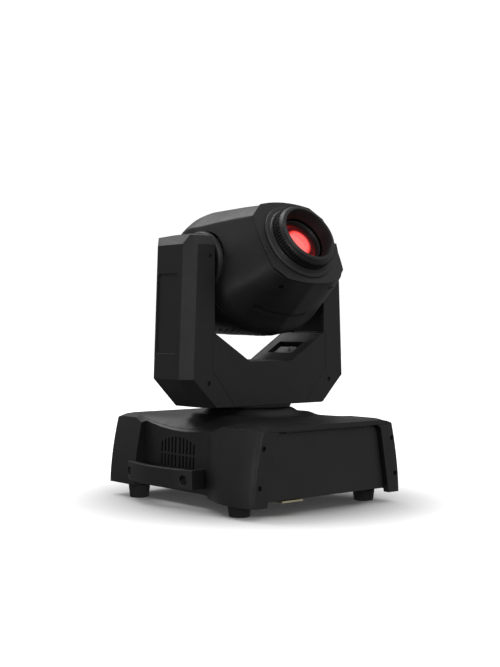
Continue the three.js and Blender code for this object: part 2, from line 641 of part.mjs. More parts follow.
function addYokeInside() {
  const upright = cut(
    prismY([
      [-0.1, 109], [80, 109], [88.5, 118], [88.5, 272], [86, 272], [86, 119], [78.8, 112], [-0.1, 112],
    ], -24, 24),
    rod('x', 18.3, 60, 100, [0, 0, TILT.z]), rod('x', 6, 60, 100, [0, 0, TILT.motorZ], 20),
  );
  const chassis = cut(join(upright, mirrorX(upright)), rod('z', 9, 90, 120));
  addNode(root, 'yoke_chassis', chassis, 'steel');

  const pan = turned('z', [
    [9, PAN.beltZ - 2], [32, PAN.beltZ - 2], [32, PAN.beltZ - 0.5], [PAN.pulleyRadius, PAN.beltZ - 0.5],
    [PAN.pulleyRadius, PAN.beltZ + 6.5], [32, PAN.beltZ + 6.5], [32, PAN.beltZ + 8], [13, PAN.beltZ + 8],
    [13, 102.3], [44, 102.3], [45, YOKE.bottom - GAP], [19, YOKE.bottom - GAP], [19, 108.7], [9, 108.7],
  ], [0, 0, 0], 32);
  addNode(root, 'pan_hub', pan, 'coated');

  const motor = join(
    box(50, 85.7, -18, 18, TILT.motorZ - 14, TILT.motorZ + 17),
    rod('x', 2.5, 85, 102, [0, 0, TILT.motorZ], 16),
  );
  addNode(root, 'tilt_motor', motor, 'steel');
  const x = TILT.beltX;
  const r = TILT.motorPulleyRadius;
  const pulley = turned('x', [
    [2.8, x - 3], [9.5, x - 3], [9.5, x - 1], [r, x - 1], [r, x + 6], [9.5, x + 6], [9.5, x + 7.2],
    [2.8, x + 7.2],
  ], [0, 0, TILT.motorZ], 16);
  addNode(root, 'tilt_motor_pulley', pulley, 'aluminium');
  const distance = TILT.z - TILT.motorZ;
  const loop = (grow) => beltOutline(TILT.pulleyRadius, r, distance, grow)
    .map(([a, b]) => [a, TILT.z - b]);
  const belt = cut(prismX(loop(2.2), x, x + TILT.beltWidth), prismX(loop(0.8), x - 1, x + 8));
  addNode(root, 'tilt_belt', belt, 'rubber');
  for (const [side, s] of [['left', -1], ['right', 1]]) {
    const bearing = turned('x', [[12.3, 84.5], [18, 84.5], [18, 90], [12.3, 90]], [0, 0, TILT.z], 28);
    addNode(root, `${side}_tilt_bearing`, s > 0 ? bearing : mirrorX(bearing), 'steel');
  }
  const slider = onSlope(join(
    box(LATCH.from + 4, LATCH.to - 4, -10, 18, -LATCH.depth + 0.6, -4),
    box(LATCH.from + 8, LATCH.to - 8, -10, -6, -LATCH.depth + 0.6, -0.5),
  ));
  addNode(root, 'tilt_lock_slider', slider, 'grey');
}

// ---- Head ------------------------------------------------------------------------------------
// Head geometry is drawn level, with the lens axis along -Y and the tilt axis through the origin.
// One station of the head: distance s ahead of the tilt axis and the outline's named corners.
const HEAD_STATIONS = [
  { s: 79, top: [34.5, 26], facet: [48.5, 12.5], waist: [51.3, -20], low: [48.3, -51.5], keel: [34.5, -65.2],
    bottom: -69 },
  { s: 60, top: [36, 36.5], facet: [53.5, 21.4], waist: [58, -20], low: [54.5, -53], keel: [36, -69],
    bottom: -74.5 },
  { s: 34, top: [37, 50], facet: [59, 33], waist: [66, -20], low: [62, -53], keel: [38, -73.5], bottom: -81 },
  { s: 12, top: [40, 61], facet: [62, 42], waist: [71, -18], low: [66, -54], keel: [38, -79], bottom: -88 },
  { s: -2, top: [50, 61.5], facet: [64, 49], waist: [72.5, -16], low: [67, -54], keel: [38, -78],
    bottom: -86 },
  { s: -22, top: [54, 60.5], facet: [61, 55], waist: [72.5, -10], low: [66, -50], keel: [38, -68],
    bottom: -75.5 },
  { s: -50, top: [49, 53], facet: [57, 47], waist: [66, -2], low: [60, -38], keel: [36, -53], bottom: -58.5 },
  { s: -70, top: [38, 43], facet: [46, 37], waist: [54, 0], low: [49, -32], keel: [30, -44], bottom: -47 },
  { s: -76, top: [32, 38], facet: [40, 32], waist: [47.5, 0], low: [43, -29], keel: [27, -40], bottom: -43 },
];

// The outline at one station, drawn in by an inset towards the middle of the section.
function headRing(station, inset) {
  const { s, top, facet, waist, low, keel, bottom } = station;
  const side = new THREE.CatmullRomCurve3([facet, waist, low, keel, [0, bottom]]
    .map(([x, z]) => new THREE.Vector3(x, 0, z)));
  const curved = side.getPoints(8).map((p) => [p.x, p.z]);
  const right = [top, ...curved];
  const all = [[0, top[1] + 1.2], ...right, ...right.slice(0, -1).reverse().map(([x, z]) => [-x, z])];
  const middle = (top[1] + bottom) / 2;
  const scaleX = (waist[0] - inset) / waist[0];
  const scaleZ = (top[1] - middle - inset) / (top[1] - middle);
  return all.map(([x, z]) => [x * scaleX, -s, middle + (z - middle) * scaleZ]);
}

function headBody(inset) {
  const last = HEAD_STATIONS.length - 1;
  const rings = HEAD_STATIONS.map((station, i) => {
    const moved = { ...station };
    if (i === last) moved.s += inset;
    return headRing(moved, inset);
  });
  if (inset > 0) rings.unshift(headRing({ ...HEAD_STATIONS[0], s: 90 }, inset));
  return loft(rings, 'y');
}

function addHeadShells() {
  const hub = rod('x', TILT.hubRadius + GAP, -90, 90, [0, 0, 0], 40);
  const skin = cut(headBody(0), headBody(WALL), hub);
  const split = -2;
  const gills = range(13).map((i) => (
    box(-49 + 8 * i, -46 + 8 * i, -33, -21, -95, -60)
  ));
  const topSlots = [-1, 1].map((side) => box(side * 24 - 5, side * 24 + 5, -41, -38, 30, 70));
  const front = cut(skin.intersect(box(-90, 90, -95, split - GAP, -110, 90)), ...gills, ...topSlots);
  addNode(head, 'head_front_shell', front, 'plastic');

  const louvres = range(8).map((i) => box(-30, 30, 60, 80, -46 + 9 * i, -42 + 9 * i));
  const grille = range(11).map((i) => box(-44 + 8 * i, -40 + 8 * i, 12, 44, -95, -60));
  const rear = cut(skin.intersect(box(-90, 90, split, 90, -110, 90)), ...louvres, ...grille);
  addNode(head, 'head_rear_shell', rear, 'plastic');
}

// The front plate's outline: bowed sides with a facet at each corner, drawn in by an inset.
function flangeOutline(inset) {
  const arc = (from, bulge, to) => range(7).map((i) => {
    const t = i / 6;
    const swell = 4 * t * (1 - t);
    return [mix(from[0], to[0], t) + bulge[0] * swell, mix(from[1], to[1], t) + bulge[1] * swell];
  });
  const w = 49 - inset;
  const h = 45.7 - inset;
  const cx = 35 - inset * 0.4;
  const cz = 32.4 - inset * 0.4;
  return [
    ...arc([cx, h], [0, 0], [w, cz]).slice(0, 1), ...arc([w, cz], [3.3, 0], [w, -cz]),
    ...arc([cx, -h], [0, -4.6], [-cx, -h]), ...arc([-w, -cz], [-3.3, 0], [-w, cz]),
    ...arc([-cx, h], [0, 4.6], [cx, h]).slice(0, -1),
  ].map(([x, z]) => [x, z + LENS.v]);
}

function addLensFront() {
  const axis = [0, 0, LENS.v];
  const plate = prismY(flangeOutline(0), -LENS.flangeFront, -LENS.flangeBack);
  addNode(head, 'lens_flange', cut(plate, rod('y', 36.5, -100, -70, axis, 40)), 'plastic');

  const step = turned('y', [
    [32.5, -76], [36, -76], [36, -81.7], [44.2, -81.7], [43.4, -83.4], [39.2, -83.6], [38.2, -86],
    [32.5, -86],
  ], axis, 32);
  addNode(head, 'lens_step_ring', step, 'plastic');

  const teeth = 30;
  const ring = turned('y', [
    [31.5, -86.4], [36, -86.4], [36, -95], [33.8, -97.4], [33.4, -98.8], [30.2, -99.8], [29.5, -99.2],
    [26.2, -86.4],
  ], axis, 30);
  const tooth = (i) => box(-0.75, 0.75, -95, -88.4, 35, 36.9)
    .rotate([0, (360 * i) / teeth, 0]).translate(axis);
  addNode(head, 'focus_ring', join(ring, ...range(teeth).map(tooth)), 'plastic');

  const cell = turned('y', [
    [22.6, -80], [24.8, -84], [25.5, -84], [25.5, -66], [19, -66], [19, -74], [22.6, -74],
  ], axis, 28);
  addNode(head, 'lens_cell', cell, 'coated');
  const lens = turned('y', [
    [0, -74.3], [22.2, -74.3], [22.2, -77], [17, -79.4], [9, -81.2], [0, -81.8],
  ], axis, 24);
  addNode(head, 'front_lens', lens, 'glass');
}

function addHeadInside() {
  const axis = [0, 0, LENS.v];
  const cheek = prismX([[-34, -46], [-8, -46], [0, -34], [42, -34], [42, 20], [-34, 20]], 52, 54.5);
  const plate = cut(join(cheek, box(-0.1, 54.5, -34, -14, -46, -43.5)), rod('x', 9, 40, 70));
  addNode(head, 'head_chassis', join(plate, mirrorX(plate)), 'steel');
  const tube = turned('y', [[19, -60], [22, -60], [22, -14], [14, -14], [14, -18], [19, -18]], axis, 24);
  addNode(head, 'optics_tube', tube, 'coated');
  const led = join(box(-16, 16, 33, 35.5, LENS.v - 16, LENS.v + 16),
    rod('y', 10, 27, 34, axis, 24));
  addNode(head, 'led_module', led, 'board');
  const sinkZ = [LENS.v - 25, LENS.v + 34];
  const fins = range(9).map((i) => box(-33 + 8 * i, -31 + 8 * i, 40, 54, ...sinkZ));
  const sink = join(box(-33, 33, 35.8, 41, ...sinkZ), ...fins);
  addNode(head, 'heat_sink', sink, 'aluminium');
  const blade = box(-2, 2, 58, 66, 6, 21);
  const blades = range(7).map((i) => (
    blade.rotate([0, (360 * i) / 7, 0]).translate(axis)
  ));
  addNode(head, 'fan_rotor', join(rod('y', 10, 57, 67, axis, 20), ...blades), 'rubber');

  for (const [name, y, dz] of [['color', 18, WHEEL.orbit], ['gobo', 10, -WHEEL.orbit]]) {
    const centre = [0, 0, LENS.v + dz];
    const disc = rod('y', WHEEL.radius, y, y + WHEEL.thickness, centre, 24);
    const windows = range(WHEEL.windows).map((i) => {
      const angle = THREE.MathUtils.degToRad((360 * i) / WHEEL.windows + (dz > 0 ? -90 : 90));
      const at = [WHEEL.orbit * Math.cos(angle), 0, centre[2] + WHEEL.orbit * Math.sin(angle)];
      return rod('y', WHEEL.windowRadius, y - 2, y + 4, at, 10);
    });
    const bore = rod('y', 2.3, y - 2, y + 4, centre, 16);
    addNode(head, `${name}_wheel`, cut(disc, ...windows, bore), 'aluminium');
    const motor = join(
      rod('y', 9, y - 22, y - 4, [0, 0, centre[2] + Math.sign(dz) * 4], 24),
      rod('y', 2, y - 5, y + 3, centre, 16),
    );
    addNode(head, `${name}_wheel_motor`, motor, 'steel');
  }
}

function addTiltHubs() {
  const r = TILT.hubRadius;
  const left = turned('x', [
    [9.5, 54.9], [16, 54.9], [16, 66], [r, 66], [r, 70.5], [r - 2, 72.4], [r - 4, 72.4], [r - 5, 71],
    [r - 8, 71], [r - 10, 74.6], [TILT.shaftRadius, 74.6], [TILT.shaftRadius, 91.5], [9.5, 91.5],
  ], [0, 0, 0], 24);
  addNode(head, 'left_tilt_hub', mirrorX(left), 'plastic');
  const x = TILT.beltX;
  const p = TILT.pulleyRadius;
  const pulley = turned('x', [
    [9.5, x - 2.5], [p + 2, x - 2.5], [p + 2, x - 1], [p, x - 1], [p, x + 6], [p + 2, x + 6],
    [p + 2, x + 7.5], [9.5, x + 7.5],
  ], [0, 0, 0], 24);
  addNode(head, 'right_tilt_hub', join(left, pulley), 'plastic');
}

addBaseShells();
addPanels();
addRearFittings();
addHandles();
addFeet();
addBaseInside();
addYokeCovers();
addYokeInside();
addHeadShells();
addLensFront();
addHeadInside();
addTiltHubs();

export default root;
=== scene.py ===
"""Looks of a moving head light: a battery base, a panning yoke and a tilting head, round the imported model.

Lengths are in millimetres until place(), which turns a finished piece into metres. +Z is up and -Y is the
front. Head pieces are drawn level, with the lens axis along -Y and the tilt axis through the origin.
"""
import json
import math

import bmesh
import bpy
from mathutils import Matrix, Vector


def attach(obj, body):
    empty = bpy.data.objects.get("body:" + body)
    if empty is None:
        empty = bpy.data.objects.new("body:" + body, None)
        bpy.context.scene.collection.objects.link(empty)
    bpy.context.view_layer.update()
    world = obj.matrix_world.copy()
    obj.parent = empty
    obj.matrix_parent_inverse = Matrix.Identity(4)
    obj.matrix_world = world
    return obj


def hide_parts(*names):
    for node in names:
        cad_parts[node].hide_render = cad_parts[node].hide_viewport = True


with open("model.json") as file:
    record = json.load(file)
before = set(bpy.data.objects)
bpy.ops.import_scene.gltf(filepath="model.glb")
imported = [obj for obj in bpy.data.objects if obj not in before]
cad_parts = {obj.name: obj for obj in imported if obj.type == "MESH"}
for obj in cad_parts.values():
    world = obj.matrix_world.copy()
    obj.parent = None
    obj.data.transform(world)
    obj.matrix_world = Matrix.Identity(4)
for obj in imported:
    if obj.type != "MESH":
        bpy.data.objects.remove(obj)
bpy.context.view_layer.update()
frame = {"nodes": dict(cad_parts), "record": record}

# ---- Driving dimensions, the same as the CAD model's ------------------------------------------
MM = 0.001
GAP = 0.3
WALL = 2.5
BASE = dict(half_length=128.6, bottom_half=102.2, top_half=90.6, taper_power=1.7, bottom=12.7,
            rear_bottom=15, taper_start=15, taper_end=90, top=92.5, seam_x=82, front_radius=2.5,
            rear_radius=4, band_bottom=86.2, strip_x=60)
HUMP = dict(half_x=62, half_y=46, plateau=96, peak=101.4, peak_radius=44, bore_radius=15.5)
DISH = dict(start_x=58, edge_x=85, low=78.2, centre_y=12, arch=580)
RECESS = dict(wall_x=86.5, taper=0.035, rear_y=78, front_y=-20, flare_end_y=-94, flare_x=107.6)
BULGE = dict(rise=5, crown_y=-94, end_y=-60)
VENT = dict(y=19, half_width=31, bottom=38.5, split=53, top=71.5, slots=10, slot_width=3)
FOOT = dict(x=87.9, y=88.5, front_height=12.1, rear_height=14.4, top=12, bottom=10.6, stem=7,
            stem_top=17.1)
HANDLE = dict(centre_y=26, half_length=59, outer_x=116, sagitta=10, screw_depth=3)
PANEL = dict(top_half=73, bottom_half=84, bottom=17.2, top=84.6, corner=7, groove=1.1, recess=5)
YOKE = dict(half_depth=35.6)
TILT = dict(z=256.2, angle=29.6, hub_radius=35.5, shaft_radius=12, pulley_radius=22, belt_x=94)
LENS_V = -19.9
SPLIT_Y = -2
HEAD_FRONT_S = 79
HEAD_REAR_S = -76

# ---- Stage values, in metres ------------------------------------------------------------------
# FLOOR_GLOW is the floor's faint glow next to the object, painted shade round it; FLOOR_REACH sets how far
# out the glow grows.
FLOOR_GLOW = 0.03
FLOOR_REACH = 0.36
SURROUND = dict(bright_side=(0.35, -0.2, 0.8), low=0.11, high=0.46)
CAMERA = dict(azimuth=-39.72, distance=1.29, height=0.1919, pitch=-0.42, sideways=-0.0005, lens=62.87)

# ---- The head's shape and the frame's lists ---------------------------------------------------
# Distance ahead of the tilt axis, then the outline's corners there, as the CAD model has them.
STATIONS = [
    (79, (34.5, 26), (48.5, 12.5), (51.3, -20), (48.3, -51.5), (34.5, -65.2), -69),
    (60, (36, 36.5), (53.5, 21.4), (58, -20), (54.5, -53), (36, -69), -74.5),
    (34, (37, 50), (59, 33), (66, -20), (62, -53), (38, -73.5), -81),
    (12, (40, 61), (62, 42), (71, -18), (66, -54), (38, -79), -88),
    (-2, (50, 61.5), (64, 49), (72.5, -16), (67, -54), (38, -78), -86),
    (-22, (54, 60.5), (61, 55), (72.5, -10), (66, -50), (38, -68), -75.5),
    (-50, (49, 53), (57, 47), (66, -2), (60, -38), (36, -53), -58.5),
    (-70, (38, 43), (46, 37), (54, 0), (49, -32), (30, -44), -47),
    (-76, (32, 38), (40, 32), (47.5, 0), (43, -29), (27, -40), -43),
]

HEAD_FRAME = Matrix.Translation((0, 0, TILT["z"])) @ Matrix.Rotation(-math.radians(TILT["angle"]), 4, "X")
NODE_BODY = {node: body for body, nodes in frame["record"]["behaviour"]["bodies"].items() for node in nodes}
NODE_SLOT = {row["node"]: row["material_slot"] for row in frame["record"]["subparts"]}


def clamp01(t):
    return min(1.0, max(0.0, t))


def smooth(t):
    t = clamp01(t)
    return t * t * (3 - 2 * t)


def mix(a, b, t):
    return a + (b - a) * t


# ---- Materials --------------------------------------------------------------------------------
class Tree:
    """The node tree of one new material, with its Principled shader."""

    def __init__(self, name):
        self.material = bpy.data.materials.new(name)
        self.material.use_nodes = True
        self.nodes = self.material.node_tree.nodes
        self.shader = self.nodes["Principled BSDF"]
        self.place = self.add("ShaderNodeTexCoord").outputs["Object"]

    def add(self, kind, **values):
        node = self.nodes.new(kind)
        for key, value in values.items():
            setattr(node, key, value)
        return node

    def link(self, output, socket):
        self.material.node_tree.links.new(output, socket)

    def set(self, **values):
        for key, value in values.items():
            self.shader.inputs[key.replace("_", " ")].default_value = value

    def noise(self, scale, detail=3.0, stretch=None):
        noise = self.add("ShaderNodeTexNoise")
        noise.inputs["Scale"].default_value = scale
        noise.inputs["Detail"].default_value = detail
        source = self.place
        if stretch:
            mapping = self.add("ShaderNodeMapping")
            mapping.inputs["Scale"].default_value = stretch
            self.link(source, mapping.inputs["Vector"])
            source = mapping.outputs["Vector"]
        self.link(source, noise.inputs["Vector"])
        return noise.outputs["Fac"]

    def ramp(self, value, stops):
        ramp = self.add("ShaderNodeValToRGB")
        elements = ramp.color_ramp.elements
        while len(elements) < len(stops):
            elements.new(0.5)
        for element, (position, colour) in zip(elements, stops):
            element.position = position
            element.color = (*colour, 1)
        self.link(value, ramp.inputs["Fac"])
        return ramp.outputs["Color"]

    def tint(self, scale, dark, light):
        colour = self.ramp(self.noise(scale), [(0.3, dark), (0.7, light)])
        self.link(colour, self.shader.inputs["Base Color"])

    def gloss(self, scale, low, high):
        value = self.ramp(self.noise(scale), [(0.3, (low,) * 3), (0.7, (high,) * 3)])
        self.link(value, self.shader.inputs["Roughness"])

    def relief(self, height, depth, edge=0.0004):
        """Grain as a bump over edges that the shader rounds by the edge radius."""
        bump = self.add("ShaderNodeBump")
        bump.inputs["Strength"].default_value = 0.6
        bump.inputs["Distance"].default_value = depth
        self.link(height, bump.inputs["Height"])
        bevel = self.add("ShaderNodeBevel", samples=4)
        bevel.inputs["Radius"].default_value = edge
        self.link(bevel.outputs["Normal"], bump.inputs["Normal"])
        self.link(bump.outputs["Normal"], self.shader.inputs["Normal"])


def black_plastic():
    tree = Tree("moulded_black_plastic")
    tree.tint(55, (0.0088, 0.0088, 0.009), (0.0112, 0.0112, 0.0115))
    tree.gloss(70, 0.44, 0.52)
    tree.relief(tree.noise(2600, 2), 0.00004)
    return tree.material


def black_coated_metal():
    tree = Tree("powder_coated_metal")
    tree.tint(30, (0.0095, 0.0095, 0.010), (0.014, 0.014, 0.0145))
    tree.gloss(60, 0.38, 0.5)
    tree.relief(tree.noise(1500, 3), 0.00005)
    return tree.material


def black_rubber():
    tree = Tree("soft_black_rubber")
    tree.tint(60, (0.009, 0.009, 0.009), (0.016, 0.016, 0.0155))
    tree.gloss(90, 0.72, 0.88)
    tree.relief(tree.noise(1900, 4), 0.00006)
    return tree.material


def brushed(name, dark, light, low, high):
    """Metal with fine brush lines along X."""
    tree = Tree(name)
    tree.set(Metallic=1.0)
    tree.tint(40, dark, light)
    tree.gloss(120, low, high)
    tree.relief(tree.noise(900, 2, (0.05, 1, 1)), 0.00003)
    return tree.material


def steel():
    return brushed("brushed_steel", (0.38, 0.38, 0.37), (0.5, 0.5, 0.48), 0.28, 0.42)


def zinc_plate():
    return brushed("yellow_zinc_plate", (0.66, 0.6, 0.38), (0.82, 0.77, 0.55), 0.22, 0.36)


def aluminium():
    return brushed("cast_aluminium", (0.5, 0.51, 0.53), (0.64, 0.65, 0.67), 0.3, 0.46)


def board_green():
    tree = Tree("circuit_board")
    tree.tint(220, (0.012, 0.09, 0.035), (0.03, 0.16, 0.07))
    tree.gloss(150, 0.3, 0.45)
    tree.relief(tree.noise(800, 2), 0.00004)
    return tree.material


def grey_plastic():
    tree = Tree("satin_grey_plastic")
    tree.tint(50, (0.2, 0.2, 0.205), (0.29, 0.29, 0.295))
    tree.gloss(80, 0.38, 0.5)
    tree.relief(tree.noise(2200, 2), 0.00003)
    return tree.material


def smoked_window():
    tree = Tree("smoked_window")
    tree.tint(25, (0.006, 0.012, 0.02), (0.012, 0.022, 0.034))
    tree.gloss(30, 0.06, 0.12)
    tree.relief(tree.noise(300, 1), 0.000005)
    tree.set(Coat_Weight=0.6)
    return tree.material


def battery_wrap():
    tree = Tree("battery_wrap")
    tree.tint(35, (0.02, 0.06, 0.12), (0.035, 0.09, 0.18))
    tree.gloss(70, 0.35, 0.5)
    tree.relief(tree.noise(700, 2), 0.00005)
    return tree.material


def red_lens():
    """Lens glass lit from inside: hot in the middle, with dark and bright rings towards the rim."""
    tree = Tree("red_lens")
    centre = HEAD_FRAME @ Vector((0, -79, LENS_V)) * MM
    mapping = tree.add("ShaderNodeMapping", vector_type="POINT")
    radius = 0.024
    mapping.inputs["Location"].default_value = -centre / radius
    mapping.inputs["Scale"].default_value = (1 / radius,) * 3
    tree.link(tree.place, mapping.inputs["Vector"])
    ball = tree.add("ShaderNodeTexGradient", gradient_type="SPHERICAL")
    tree.link(mapping.outputs["Vector"], ball.inputs["Vector"])
    dark, ring, hot = (0.07, 0.003, 0.004), (0.85, 0.035, 0.03), (0.95, 0.14, 0.13)
    glow = tree.ramp(ball.outputs["Fac"], [
        (0.02, ring), (0.10, ring), (0.135, dark), (0.35, dark), (0.40, ring), (0.52, hot),
    ])
    tree.link(glow, tree.shader.inputs["Emission Color"])
    tree.link(glow, tree.shader.inputs["Base Color"])
    tree.set(Emission_Strength=0.75, Coat_Weight=1.0, Coat_Roughness=0.03)
    tree.gloss(20, 0.03, 0.07)
    return tree.material


MAKERS = dict(
    black_plastic=black_plastic, black_coated_metal=black_coated_metal, black_rubber=black_rubber,
    steel=steel, zinc_plate=zinc_plate, aluminium=aluminium, board_green=board_green,
    red_lens=red_lens, grey_plastic=grey_plastic, smoked_window=smoked_window, battery_wrap=battery_wrap,
)
MATERIALS = {slot: make() for slot, make in MAKERS.items()}


# ---- Solids, in millimetres -------------------------------------------------------------------
def solid(points, faces):
    mesh = bpy.data.meshes.new("solid")
    mesh.from_pydata([tuple(p) for p in points], [], faces)
    return tidy_mesh(mesh, 1e-4)


def tidy_mesh(mesh, reach):
    """Merges doubled points, turns the faces outwards and links the mesh as a new object."""
    shape = bmesh.new()
    shape.from_mesh(mesh)
    bmesh.ops.remove_doubles(shape, verts=shape.verts, dist=reach)
    bmesh.ops.recalc_face_normals(shape, faces=shape.faces)
    shape.to_mesh(mesh)
    shape.free()
    item = bpy.data.objects.new("solid", mesh)
    bpy.context.scene.collection.objects.link(item)
    return item


def remove(*items):
    for item in items:
        bpy.data.objects.remove(item)


def loft(rings):
    """A skin over rings with the same number of points, closed by a cap at each end."""
    count = len(rings[0])
    faces = []
    for r in range(len(rings) - 1):
        for i in range(count):
            a, b = r * count + i, r * count + (i + 1) % count
            faces.append((a, b, b + count, a + count))
    faces.append(tuple(range(count)))
    last = (len(rings) - 1) * count
    faces.append(tuple(range(last, last + count)))
    return solid([p for ring in rings for p in ring], faces)


AXES = {"x": lambda a, b, c: (c, a, b), "y": lambda a, b, c: (a, c, b), "z": lambda a, b, c: (a, b, c)}


def prism(axis, outline, start, end):
    """An outline across the named axis, run from start to end along it."""
    turn = AXES[axis]
    return loft([[turn(a, b, along) for a, b in outline] for along in (start, end)])


def box(x0, x1, y0, y1, z0, z1):
    return prism("z", [(x0, y0), (x1, y0), (x1, y1), (x0, y1)], z0, z1)


def circle(radius, count, centre=(0, 0)):
    steps = [2 * math.pi * i / count for i in range(count)]
    return [(centre[0] + radius * math.cos(a), centre[1] + radius * math.sin(a)) for a in steps]


def rod(axis, radius, start, end, centre=(0, 0, 0), count=48):
    item = prism(axis, circle(radius, count), start, end)
    return shift(item, centre)


def turned(axis, profile, centre=(0, 0, 0), count=96):
    """A turned solid: points are (radius, distance along the axis)."""
    turn = AXES[axis]
    points, faces = [], []
    for i in range(count):
        angle = 2 * math.pi * i / count
        points += [turn(r * math.cos(angle), r * math.sin(angle), along) for r, along in profile]
    size = len(profile)
    closed = profile[0][0] > 0
    for i in range(count):
        a, b = i * size, (i + 1) % count * size
        for k in range(size if closed else size - 1):
            n = (k + 1) % size
            faces.append((a + k, a + n, b + n, b + k))
    return shift(solid(points, faces), centre)


def shift(item, offset):
    item.data.transform(Matrix.Translation(offset))
    return item


def apply_booleans(item, operation, tools):
    for tool in tools:
        modifier = item.modifiers.new("boolean", "BOOLEAN")
        modifier.operation = operation
        modifier.solver = "MANIFOLD"
        modifier.object = tool
    graph = bpy.context.evaluated_depsgraph_get()
    mesh = bpy.data.meshes.new_from_object(item.evaluated_get(graph))
    item.modifiers.clear()
    item.data = mesh
    remove(*tools)
    return item


def cut(item, *tools):
    return apply_booleans(item, "DIFFERENCE", tools)


def meet(item, *tools):
    return apply_booleans(item, "INTERSECT", tools)


def join(item, *tools):
    return apply_booleans(item, "UNION", tools)


def combine(items):
    """Separate solids as one mesh, for tools that don't touch each other."""
    shape = bmesh.new()
    for item in items:
        shape.from_mesh(item.data)
    mesh = bpy.data.meshes.new("solid")
    shape.to_mesh(mesh)
    shape.free()
    remove(*items)
    return tidy_mesh(mesh, 1e-5)


def copy_of(item):
    twin = bpy.data.objects.new("solid", item.data.copy())
    bpy.context.scene.collection.objects.link(twin)
    return twin


def mirrored(item):
    twin = copy_of(item)
    twin.data.transform(Matrix.Scale(-1, 4, (1, 0, 0)))
    twin.data.flip_normals()
    return twin


def place(item, name, *nodes, body=None, slot=None, frame_of=Matrix.Identity(4), crease=32):
    """Turns a finished solid into a named piece, in metres, that stands for the given CAD nodes."""
    item.data.transform(Matrix.Scale(MM, 4) @ frame_of)
    item.data.name = name
    item.name = name
    item.data.materials.clear()
    slot = slot or NODE_SLOT[nodes[0]]
    item.data.materials.append(MATERIALS[slot])
    item.data.polygons.foreach_set("material_index", [0] * len(item.data.polygons))
    item.data.shade_smooth()
    item.data.set_sharp_from_angle(angle=math.radians(crease))
    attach(item, body or NODE_BODY[nodes[0]])
    if nodes:
        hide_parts(*nodes)
    return item


def from_node(node):
    """The CAD node's solid in millimetres, with its flat faces whole again."""
    source = frame["nodes"][node].data
    mesh = bpy.data.meshes.new("solid")
    points = [v.co / MM for v in source.vertices]
    mesh.from_pydata(points, [], [tuple(p.vertices) for p in source.polygons])
    return tidy_mesh(mesh, 2e-3)


def round_edges(item, width, segments=3):
    """Rounds the edges of a finished piece, inwards from its faces."""
    flat = item.modifiers.new("flat_faces", "DECIMATE")
    flat.decimate_type = "DISSOLVE"
    flat.angle_limit = math.radians(0.5)
    bevel = item.modifiers.new("rounded_edges", "BEVEL")
    bevel.limit_method = "ANGLE"
    bevel.angle_limit = math.radians(24)
    bevel.width = width * MM
    bevel.segments = segments
    bevel.use_clamp_overlap = True
    bevel.harden_normals = True
    return item


def refine(node, width, segments=3, tools=()):
    item = from_node(node)
    if tools:
        item = cut(item, *tools)
    return round_edges(place(item, f"{node}_fine", node), width, segments)


# ---- Fasteners --------------------------------------------------------------------------------
def screw(name, body, at, direction, radius=2.1, frame_of=Matrix.Identity(4)):
    """A domed screw head with a cross recess, facing the given direction."""
    dome = [(0, -2.2), (radius, -2.2), (radius, -0.5)]
    dome += [(radius * math.cos(a), -0.5 + 0.5 * math.sin(a)) for a in (0.4, 0.8, 1.2)]
    head = turned("z", dome + [(0, 0)], count=32)
    arm = radius * 0.62
    slots = [box(-arm, arm, -0.32, 0.32, -1.3, 1), box(-0.32, 0.32, -arm, arm, -1.3, 1)]
    head = cut(head, *slots)
    turn = Vector(direction).to_track_quat("Z", "Y").to_matrix().to_4x4()
    head.data.transform(Matrix.Translation(at) @ turn)
    return place(head, name, body=body, slot="black_coated_metal", frame_of=frame_of)


# ---- Base -------------------------------------------------------------------------------------
def base_outline(z, inset):
    """The base seen from above at one height, with sides that bulge behind the front corners."""
    t = clamp01((z - BASE["taper_start"]) / (BASE["taper_end"] - BASE["taper_start"]))
    half_x = mix(BASE["bottom_half"], BASE["top_half"], t ** BASE["taper_power"]) - inset
    half_y = BASE["half_length"] - inset
    front, rear, crown_y = BASE["front_radius"], BASE["rear_radius"], BULGE["crown_y"]

    def arc(sy, radius, start):
        angles = [math.radians(start + 90 * i / 8) for i in range(9)]
        middle_x, middle_y = half_x - radius, sy * (half_y - radius)
        return [(middle_x + radius * math.cos(a), middle_y + radius * math.sin(a), z) for a in angles]

    side = []
    for i in range(16):
        y = mix(front - half_y, crown_y, (i + 1) / 16)
        along = (crown_y - y) / (crown_y + half_y)
        side.append((half_x + BULGE["rise"] * (1 - along ** 2), y, z))
    right = arc(-1, front, -90) + side + [(half_x, BULGE["end_y"], z)] + arc(1, rear, 0)
    return right + [(-x, y, z) for x, y, z in reversed(right)]


def base_envelope(inset, bottom):
    heights = [bottom] + [mix(15, 90, i / 24) for i in range(25)] + [112]
    return loft([base_outline(z, inset) for z in heights])


def top_height(x, y):
    """Height of the top skin: a raised middle, falling edges and a scoop beside each handle."""
    ax, ay = abs(x), abs(y)
    outside = math.hypot(max(0, ax - HUMP["half_x"] + 20), max(0, ay - HUMP["half_y"] + 20))
    plateau = mix(HUMP["plateau"], BASE["top"], smooth((outside - 14) / 14))
    rise = HUMP["peak"] - HUMP["plateau"]
    peak = rise * (1 - smooth((math.hypot(x, y) - HUMP["peak_radius"]) / 12))
    edge = 4 * smooth((ax - 74) / 20) + 1.6 * smooth((ay - 116) / 12.6)
    plain = plateau + peak - edge
    arch = DISH["low"] + (y - DISH["centre_y"]) ** 2 / DISH["arch"]
    scoop = max(0, (ax - DISH["start_x"]) / (DISH["edge_x"] - DISH["start_x"])) ** 2
    return plain - max(0, plain - arch) * scoop


def below_top(drop):
    """Everything under the top skin, lowered by the drop."""
    xs = [-112 + 224 * i / 112 for i in range(113)]
    rings = []
    for row in range(133):
        y = -132 + 2 * row
        top = [(x, y, top_height(x, y) - drop) for x in xs]
        rings.append(top + [(112, y, -10), (-112, y, -10)])
    return loft(rings)


